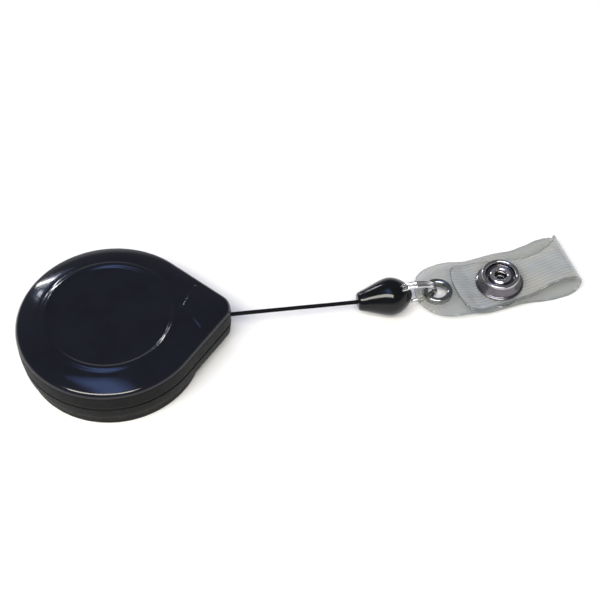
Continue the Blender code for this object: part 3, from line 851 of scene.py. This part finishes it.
def strap_edges(x, table, tongue):
    """The strap's middle line and half width at x: from the table, and drawn in to a rounded tongue."""
    tip, root, powers = tongue
    spans = [(low, high) for low, high in zip(table, table[1:]) if x <= high[0]]
    low, high = spans[0] if spans else table[-2:]
    straight = min(max((x - low[0]) / (high[0] - low[0]), 0.0), 1.0)
    share = step_between(x, low[0], high[0]) * 0.5 + straight * 0.5
    near, far = (a + (b - a) * share for a, b in zip(low[1:], high[1:]))
    reach = min(max((root - x) / (root - tip), 0.0), TONGUE_REACH)
    near_half, far_half = ((far - near) / 2 * (1.0 - reach**power) ** TONGUE_POWER for power in powers)
    return (near + far + far_half - near_half) / 2, (near_half + far_half) / 2


def strap_section(place, along, centre, half):
    """The ribbed strip's outline across its path at place."""
    up = Vector((-along.y, along.x))
    radius = STRAP_THICKNESS / 2
    flat = max(half - radius, 0.02)
    row = []
    for side in (1, -1):
        for step in range(RIB_STEPS):
            across = side * flat * (2 * step / RIB_STEPS - 1)
            fade = step_between(flat - abs(across), 0.0, 0.5)
            groove = 0.5 + 0.5 * math.cos(2 * math.pi * (across + centre) / RIB_PITCH)
            spot = place + up * (side * (radius - RIB_HEIGHT * fade * groove))
            row.append((spot.x, across + centre, spot.y))
        for step in range(EDGE_STEPS):
            angle = math.pi / 2 - math.pi * step / EDGE_STEPS
            across = side * (flat + min(radius, half) * math.cos(angle))
            spot = place + up * (side * radius * math.sin(angle))
            row.append((spot.x, across + centre, spot.y))
    return row


def strap_line():
    """The strap's middle line as (x, z), from its tongue, round the fold and back to the flap's end."""
    tongue = [(x, 2.6) for x in (-3.9, -3.85, -3.7, -3.4, -2.8, -1.6, 1.0)]
    lower = [
        (3.0, 2.57), (4.5, 2.3), (6.0, 1.75), (7.5, 1.3), (9.0, 1.15), (11.6, 1.15), (13.6, 1.08),
        (15.2, 0.84), (16.7, 0.5), (17.8, 0.36), (19.0, 0.35), (21.0, 0.35), (22.85, 0.35),
    ]
    fold = [
        (FOLD_X + FOLD_RADIUS * math.cos(angle), FOLD_Z + FOLD_RADIUS * math.sin(angle))
        for angle in (math.radians(-90 + 180 * i / 8) for i in range(9))
    ]
    flap = [
        (22.4, 3.62), (21.0, 3.4), (19.0, 3.0), (17.5, 2.62), (16.6, 2.4), (15.6, 2.27), (12.8, 2.27),
        (10.6, 2.27), (8.4, 2.27), (6.4, 2.28), (5.4, 2.6), (4.6, 2.98), (4.0, 3.2), (3.4, 3.37), (3.1, 3.43),
        (3.0, 3.45),
    ]
    return spline(tongue + lower + fold + flap, 6)


def all_strap_rows():
    """The whole strip's sections, with the numbers of the two where it is divided into pieces."""
    line = strap_line()
    turn = max(range(len(line)), key=lambda i: line[i].x)
    rows = []
    for i, place in enumerate(line):
        along = (line[min(i + 1, len(line) - 1)] - line[max(i - 1, 0)]).normalized()
        table, tongue = (LOWER_EDGES, LOWER_TONGUE) if i <= turn else (FLAP_EDGES, FLAP_TONGUE)
        centre, half = strap_edges(place.x, table, tongue)
        rows.append(strap_section(place, along, centre, half))
    lower_seam = min(range(turn), key=lambda i: abs(line[i].x - LOWER_SEAM_X))
    flap_seam = min(range(turn, len(line)), key=lambda i: abs(line[i].x - FLAP_SEAM_X))
    return rows, lower_seam, flap_seam


def strip_piece(name, rows, sheet, closed):
    """A stretch of the strip, its edges painted darker as painted shade. An open stretch takes the flap's
    lighter vinyl, painted light, past its middle.
    """
    vinyls = [sheet, VINYL_EDGE_SHADE, LIT_FLAP_VINYL]
    piece = surface(name, rows, vinyls, STRAP_FRAME, ends=(closed, closed), sharp=STRAP_SHARP_ANGLE)
    side = RIB_STEPS + EDGE_STEPS
    for index, face in enumerate(piece.data.polygons):
        on_edge = index % (2 * side) % side >= RIB_STEPS - 1 or index >= 2 * side * (len(rows) - 1)
        on_flap = not closed and index > side * len(rows)
        face.material_index = 1 if on_edge else 2 if on_flap else 0
    return piece


def drop_cap(piece, seam):
    """Opens the piece at its seam, so that no wall shows inside the clear strip where two pieces meet."""
    mesh = piece.data
    inverse = STRAP_FRAME.inverted()
    kept = [
        face for face in mesh.polygons
        if len(face.vertices) < CAP_CORNERS or abs((inverse @ face.center).x / MM - seam) > 0.5
    ]
    opened = bpy.data.meshes.new(mesh.name)
    points = [vertex.co.copy() for vertex in mesh.vertices]
    opened.from_pydata(points, [], [tuple(face.vertices) for face in kept])
    for material in mesh.materials:
        opened.materials.append(material)
    opened.polygons.foreach_set("material_index", [face.material_index for face in kept])
    opened.shade_smooth()
    opened.set_sharp_from_angle(angle=math.radians(STRAP_SHARP_ANGLE))
    piece.data = opened


def make_strap():
    """The strip in three pieces: the lower layer, the flap, and the fold between them."""
    rows, lower_seam, flap_seam = all_strap_rows()
    # The lower layer takes the darker copy of the vinyl, painted shade; the flap takes the lighter copy,
    # painted light
    lower = strip_piece("strap_base", rows[: lower_seam + 1], SHADED_VINYL, True)
    cut(lower, cylinder(EYELET_HOLE, 1.6, 3.6, STRAP_FRAME))
    cut(lower, cylinder(POST_HOLE, 0.5, 1.8, SNAP_FRAME))
    drop_cap(lower, rows[lower_seam][0][0])
    finish_piece(lower, "strap", "strap_lower")
    flap = strip_piece("strap_top", rows[flap_seam:], LIT_FLAP_VINYL, True)
    cut(flap, cylinder(SOCKET_HOLE, 1.6, 3.2, SNAP_FRAME))
    drop_cap(flap, rows[flap_seam][0][0])
    finish_piece(flap, "flap", "strap_flap")
    fold = strip_piece("strap_fold", rows[lower_seam : flap_seam + 1], SHADED_VINYL, False)
    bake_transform(fold)


# ---------------------------------------------------------------- eyelet and snap


def make_plated(name, profile, corner, material, matrix, body, node, steps=TURNED_STEPS):
    """A turned and plated piece with soft corners."""
    piece = turned(name, rounded(profile, corner), material, matrix, steps)
    finish_piece(piece, body, node)
    return piece


def make_eyelet():
    """The rolled eyelet in the strap's tongue, and its washer below."""
    profile = [
        (1.86, 2.02), (1.88, 2.94), (2.3, 2.92), (2.64, 2.96), (2.62, 3.2), (2.42, 3.4), (2.1, 3.44),
        (1.78, 3.32), (1.62, 3.1), (1.62, 2.02),
    ]
    # The eyelet wears a darker grey copy of its washer's nickel plate: painted shade
    make_plated("eyelet", profile, 0.1, [EYELET_DARKENED_PLATE], STRAP_FRAME, "strap", "strap_eyelet")
    profile = [(2.66, 2.3), (2.66, 2.14), (2.5, 2.04), (2.1, 2.06), (2.0, 2.16), (2.0, 2.3)]
    make_plated("eyelet_back", profile, 0.05, [PLATE], STRAP_FRAME, "strap", "eyelet_washer")


def make_snap():
    """The snap from below: post and stud in the lower layer, socket, centre ring and spring in the flap."""
    profile = [
        (0.7, 3.62), (1.15, 3.6), (1.2, 0.64), (3.86, 0.64), (4.02, 0.5), (3.98, 0.3), (3.7, 0.14),
        (2.0, 0.1), (1.0, 0.24), (0.7, 0.4),
    ]
    make_plated("snap_rivet", profile, 0.08, [PLATE], SNAP_FRAME, "strap", "snap_post")
    profile = [
        (1.4, 3.85), (1.82, 3.87), (2.04, 3.6), (2.0, 3.35), (1.8, 3.1), (1.8, 2.02), (2.1, 1.92),
        (3.38, 1.92), (3.4, 1.7), (1.35, 1.7),
    ]
    make_plated("snap_stud_cap", profile, 0.1, [PLATE], SNAP_FRAME, "strap", "snap_stud")
    profile = [
        (2.62, 4.92), (2.78, 5.12), (3.02, 5.2), (3.26, 5.12), (3.38, 4.86), (3.46, 4.3), (3.62, 3.55),
        (3.82, 3.12), (4.12, 2.98), (4.24, 2.84), (4.2, 2.68), (3.6, 2.6), (2.55, 2.62), (2.5, 2.85),
        (3.2, 3.0), (3.36, 3.3), (3.1, 4.0), (1.3, 4.06), (1.22, 4.2), (1.26, 4.36), (2.3, 4.36),
        (2.52, 4.46),
    ]
    # The socket wears darker copies of the nickel plate: painted shade
    plates = [DARKENED_PLATE, SHADED_PLATE]
    socket = make_plated("snap_cap", profile, 0.09, plates, SNAP_FRAME, "flap", "snap_socket", SNAP_STEPS)
    # Painted shade: the socket's side wall and flange below that height take the darker copy of the plate
    for face in socket.data.polygons:
        face.material_index = 1 if face.center.z < SHADED_BELOW_Z * MM else 0
    profile = [
        (1.92, 4.4), (2.0, 4.52), (1.96, 4.76), (1.72, 4.94), (1.4, 4.98), (1.16, 4.86), (1.1, 4.62),
        (1.18, 4.42),
    ]
    make_plated("snap_cap_centre", profile, 0.08, [PLATE], SNAP_FRAME, "flap", "snap_socket_ring", SNAP_STEPS)
    turns = [math.radians(20 + 320 * i / 60) for i in range(61)]
    path = [(2.4 * math.cos(angle), 2.4 * math.sin(angle), 3.45) for angle in turns]
    spring = sweep("snap_wire", path, 0.2, [STEEL], SNAP_FRAME, sides=12)
    finish_piece(spring, "flap", "snap_spring")


# ---------------------------------------------------------------- inside the case


def dress_hidden_nodes():
    """The pieces inside the case keep their CAD shape and get finished materials."""
    finishes = {
        "axle_rivet": STEEL, "retaining_washer": STEEL, "power_spring": SPRING, "spool": ACETAL,
        "cord_winding": NYLON, "cord_lead": NYLON, "cord_knot": NYLON,
    }
    for name, material in finishes.items():
        node = frame["nodes"][name]
        for slot in node.material_slots:
            slot.material = material
        node.data.shade_smooth()
        node.data.set_sharp_from_angle(angle=math.radians(SHARP_ANGLE))


make_camera()
make_world()
make_stage()
bpy.context.scene.view_settings.view_transform = "Standard"

GLOSS = polished_plastic("polished_blue_black", (0.0032, 0.0038, 0.0075), (0.0045, 0.0055, 0.011))
SATIN = moulded_plastic("satin_black", (0.0028, 0.0028, 0.0028), (0.0055, 0.0054, 0.0053))
BEAD_GLOSS = polished_plastic("polished_black", (0.0025, 0.0028, 0.0035), (0.004, 0.0045, 0.0055), 0.32)
NYLON = braided_cord("braided_nylon", (0.002, 0.002, 0.0025), (0.008, 0.008, 0.009))
PLATE = plated_metal("nickel_plate", (0.70, 0.69, 0.70), 0.06, 0.18)
# A darker copy of the nickel plate for the snap socket: painted shade
DARKENED_PLATE = plated_metal("nickel_plate_painted_darker", (0.47, 0.46, 0.47), 0.08, 0.2)
# A darker copy of the nickel plate: painted shade for the snap socket's side wall and flange
SHADED_PLATE = plated_metal("nickel_plate_painted_shade", (0.17, 0.16, 0.175), 0.12, 0.3)
# A darker grey copy of the nickel plate for the eyelet: painted shade
EYELET_DARKENED_PLATE = plated_metal("nickel_plate_grey_painted_shade", (0.33, 0.34, 0.33), 0.08, 0.22)
STEEL = brushed_steel("clip_steel", (1.0, 30.0, 1.0))
SPRING = brushed_steel("spring_steel_strip", (1.0, 1.0, 30.0))
# One clear vinyl in two copies: the lower layer painted darker as painted shade, the flap painted lighter as
# painted light
SHADED_VINYL = clear_vinyl("clear_vinyl_sheet_painted_shade", (0.285, 0.31, 0.305), (0.35, 0.35, 0.27), 0.36, 0.75, 0.06)
LIT_FLAP_VINYL = clear_vinyl("clear_vinyl_flap_painted_light", (0.50, 0.525, 0.53), (0.55, 0.54, 0.47), 0.46, 0.8, 0.07)
# A darker copy of the vinyl for the strap's edges: painted shade
VINYL_EDGE_SHADE = clear_vinyl("clear_vinyl_edge_painted_shade", (0.13, 0.15, 0.16), (0.16, 0.16, 0.13), 0.42, 0.9, 0.08)
ACETAL = acetal()

make_cord()
make_front_cover()
make_rear_cover()
make_belt_clip()
make_bead()
make_split_ring()
make_strap()
make_eyelet()
make_snap()
dress_hidden_nodes()
